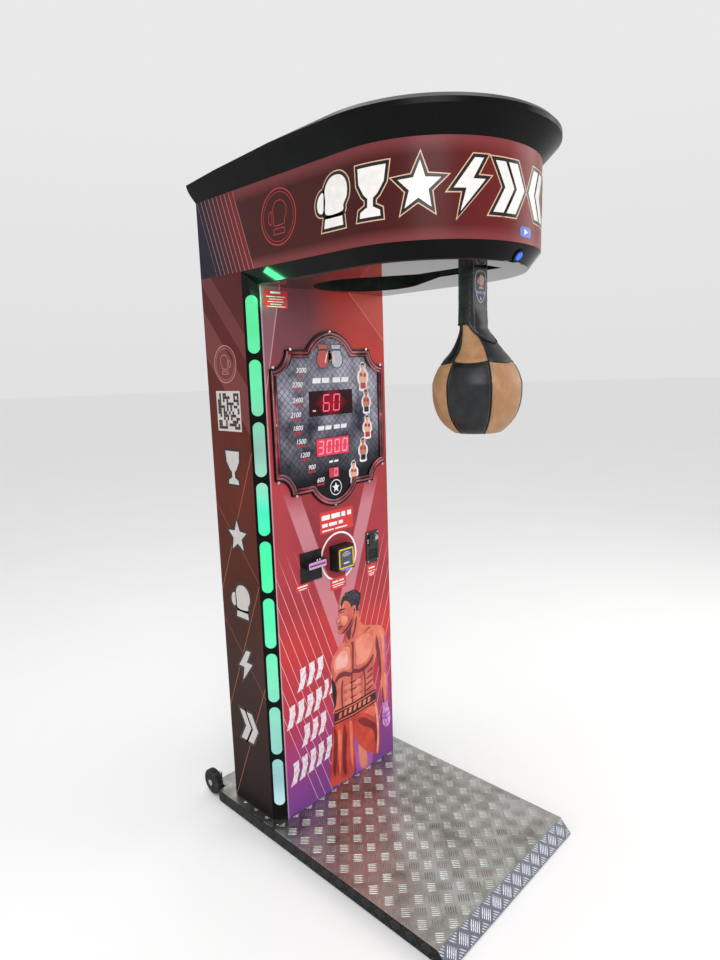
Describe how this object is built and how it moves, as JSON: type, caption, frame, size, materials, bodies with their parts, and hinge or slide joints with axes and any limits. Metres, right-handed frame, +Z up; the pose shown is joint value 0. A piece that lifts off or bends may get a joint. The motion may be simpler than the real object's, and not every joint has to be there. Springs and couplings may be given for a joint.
{
  "type": "boxing punch machine",
  "caption": "Slim column arcade strength tester with a round-fronted overhanging head, a hanging punch ball, a score board and a tread-plate platform.",
  "frame": {"origin": "on the floor, under the middle of the machine's overall box", "axes": "+Z up; -Y towards the player, who faces the score board; +X to the player's right"},
  "size_m": [0.735, 1.21, 2.2],
  "materials": {
    "bezel_red": "dark red moulding",
    "black_board": "black laminate",
    "button_blue": "lit blue",
    "gloss_black": "high gloss black",
    "leather_ball": "tan and black leather",
    "leather_black": "black leather",
    "lens": "milky lens, lit green",
    "matte_black": "matt black",
    "pcb": "circuit board",
    "printed_band": "glossy printed film",
    "printed_board": "board under glossy printed film",
    "rubber": "matt black",
    "score_print": "printed face",
    "screen": "lit screen",
    "soffit_gloss": "polished black",
    "steel_black": "black powder coat",
    "steel_zinc": "zinc plated",
    "tread": "five-bar tread plate",
    "wheel_rubber": "solid rubber",
    "window_red": "tinted window"
  },
  "bodies": {
    "cabinet": {"base_feet": "rubber", "base_frame": "steel_black", "base_tread_plate": "tread", "bearing_blocks": "steel_black", "bill_bezel": "matte_black", "bill_validator": "matte_black", "card_reader": "matte_black", "card_screen": "screen", "cash_box": "steel_black", "coin_chute": "steel_zinc", "coin_mechanism": "steel_black", "coin_plate": "steel_black", "coin_screws": "steel_zinc", "column_frame": "steel_black", "column_side_left": "printed_board", "column_side_right": "printed_board", "control_board": "pcb", "display_boards": "pcb", "display_windows": "window_red", "door_hinge_pins": "steel_zinc", "front_panel": "printed_board", "head_frame": "steel_black", "latch_solenoid": "steel_zinc", "led_boards": "pcb", "led_cover_left": "gloss_black", "led_cover_right": "gloss_black", "led_diffusers_left": "lens", "led_diffusers_right": "lens", "lower_bevel": "gloss_black", "mains_inlet": "matte_black", "marquee_band": "printed_band", "pocket_liner": "matte_black", "power_supply": "steel_zinc", "rear_kick_panel": "black_board", "rear_top_panel": "black_board", "score_bezel": "bezel_red", "score_plate": "score_print", "score_screws": "steel_zinc", "speaker": "matte_black", "speed_sensor": "matte_black", "start_button_housing": "gloss_black", "stop_buffer": "rubber", "top_cap": "gloss_black", "underside_plate": "soffit_gloss", "wheel_axles": "steel_zinc"},
    "swing": {"pivot_shaft": "steel_zinc", "punch_arm": "steel_black", "arm_sleeve": "leather_black", "punch_ball": "leather_ball", "sensor_vane": "steel_zinc"},
    "latch": {"latch_pawl": "steel_zinc"},
    "start": {"start_button": "button_blue"},
    "coin_reject": {"coin_reject_button": "steel_zinc"},
    "coin_flap": {"coin_return_flap": "matte_black"},
    "door": {"rear_door": "black_board", "door_hinge_leaves": "steel_zinc", "door_lock": "steel_zinc"},
    "cam": {"lock_cam": "steel_zinc"},
    "left_wheel": {"wheel_left": "wheel_rubber"},
    "right_wheel": {"wheel_right": "wheel_rubber"}
  },
  "joints": [
    {"name": "ball_swing", "type": "hinge", "parent": "cabinet", "child": "swing", "pos_m": [0, -0.402, 1.935], "axis": [1, 0, 0], "range_deg": [-8, 88]},
    {"name": "latch_turn", "type": "hinge", "parent": "cabinet", "child": "latch", "pos_m": [0.028, -0.494, 1.997], "axis": [1, 0, 0], "range_deg": [0, 20]},
    {"name": "start_press", "type": "slide", "parent": "cabinet", "child": "start", "axis": [0, 0.7772, 0.6292], "range_m": [0, 0.003], "stiffness_N_per_m": 400},
    {"name": "reject_press", "type": "slide", "parent": "cabinet", "child": "coin_reject", "axis": [0, 1, 0], "range_m": [0, 0.004], "stiffness_N_per_m": 400},
    {"name": "flap_swing", "type": "hinge", "parent": "cabinet", "child": "coin_flap", "pos_m": [0.186, 0.18225, 0.915], "axis": [1, 0, 0], "range_deg": [0, 55]},
    {"name": "door_swing", "type": "hinge", "parent": "cabinet", "child": "door", "pos_m": [-0.2995, 0.444, 0.85], "axis": [0, 0, 1], "range_deg": [0, 100]},
    {"name": "cam_turn", "type": "hinge", "parent": "door", "child": "cam", "pos_m": [0.2495, 0.404, 0.85], "axis": [0, 1, 0], "range_deg": [0, 90]},
    {"name": "left_wheel_spin", "type": "hinge", "parent": "cabinet", "child": "left_wheel", "pos_m": [-0.335, 0.558, 0.053], "axis": [1, 0, 0], "continuous": true},
    {"name": "right_wheel_spin", "type": "hinge", "parent": "cabinet", "child": "right_wheel", "pos_m": [0.335, 0.558, 0.053], "axis": [1, 0, 0], "continuous": true}
  ]
}
